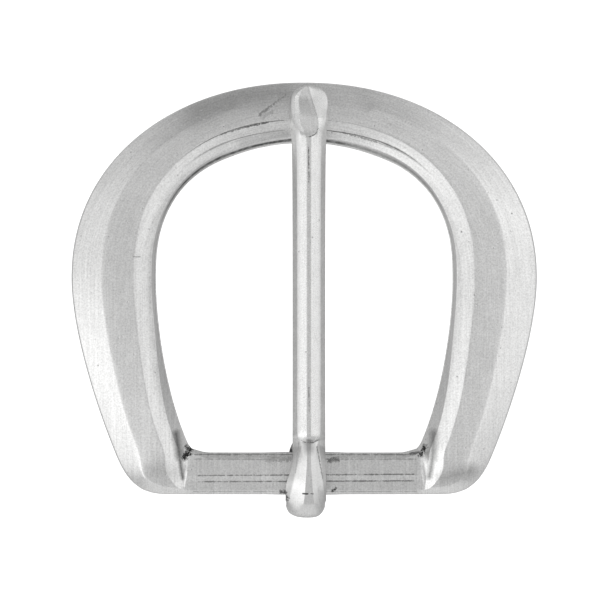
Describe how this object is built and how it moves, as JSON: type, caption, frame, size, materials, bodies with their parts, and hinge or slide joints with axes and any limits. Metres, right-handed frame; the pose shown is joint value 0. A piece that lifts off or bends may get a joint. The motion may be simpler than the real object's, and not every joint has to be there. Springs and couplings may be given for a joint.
{
  "type": "belt buckle",
  "caption": "Horseshoe-shaped heel-bar belt buckle: a faceted, arched frame cast with its bar, and a hooked prong that swings on the bar and rests on the bow.",
  "frame": {"origin": "the bottom centre of the whole buckle as it lies on its back, prong on the bow", "axes": "+X along the heel bar, +Y from the bar to the bow, +Z out of the face"},
  "size_m": [0.0776, 0.0727, 0.0109],
  "materials": {
    "satin_nickel_frame": "satin antique silver plate over a zinc casting, darker in the recesses",
    "polished_nickel_prong": "the same plate, rubbed brighter on its facets"
  },
  "bodies": {
    "frame": {"frame": "satin_nickel_frame"},
    "prong": {"prong": "polished_nickel_prong"}
  },
  "joints": [
    {"name": "prong_hinge", "type": "hinge", "parent": "frame", "child": "prong", "pos_m": [0.00078, -0.02892, 0.00526], "axis": [1, 0, 0], "range_deg": [0, 350]}
  ]
}
